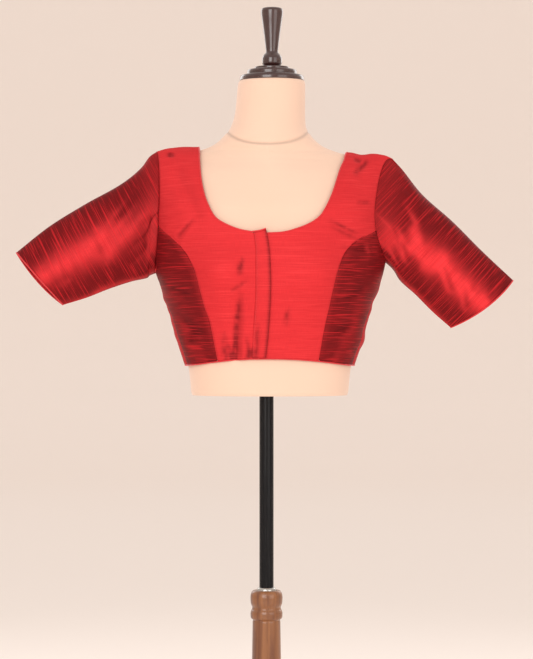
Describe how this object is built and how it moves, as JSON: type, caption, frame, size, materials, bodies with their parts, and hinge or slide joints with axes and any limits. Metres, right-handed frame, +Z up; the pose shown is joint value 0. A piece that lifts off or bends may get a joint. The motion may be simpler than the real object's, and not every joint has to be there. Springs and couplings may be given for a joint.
{
  "type": "choli blouse on a dress form",
  "caption": "Cropped silk choli blouse with princess seams, a deep round neck and elbow sleeves, worn on a limbless dress form that turns and slides on a wooden post.",
  "frame": {"origin": "on the floor, on the axis of the pole, at the middle of the underside of the base", "axes": "+Z up, -Y is the front of the blouse, +X to the wearer's left"},
  "size_m": [0.7699, 0.31, 1.5],
  "materials": {
    "red_silk": "shot dupion silk, plain weave with a soft sheen",
    "maroon_silk": "shot dupion silk with slubs and a strong sheen",
    "piping_silk": "satin binding",
    "form_jersey": "matt jersey",
    "dark_turning": "gloss lacquer over dark turned wood",
    "black_steel": "gloss black",
    "turned_wood": "satin varnish",
    "bright_steel": "turned"
  },
  "bodies": {
    "stand": {"base": "turned_wood", "post": "turned_wood", "ferrule": "bright_steel"},
    "pole": {"pole": "black_steel"},
    "form": {"form_torso": "form_jersey", "neck_cap": "dark_turning", "finial": "dark_turning", "front_centre_right": "red_silk", "front_centre_left": "red_silk", "front_side_right": "maroon_silk", "front_side_left": "maroon_silk", "back_panel": "red_silk", "front_placket": "red_silk", "sleeve_right": "maroon_silk", "sleeve_left": "maroon_silk", "neck_piping": "piping_silk", "hem_piping": "piping_silk", "cuff_piping_right": "piping_silk", "cuff_piping_left": "piping_silk"}
  },
  "joints": [
    {"name": "height", "type": "slide", "parent": "stand", "child": "pole", "axis": [0, 0, 1], "range_m": [0, 0.25]},
    {"name": "turn", "type": "hinge", "parent": "pole", "child": "form", "pos_m": [0, 0, 0.97], "axis": [0, 0, 1], "continuous": true}
  ]
}
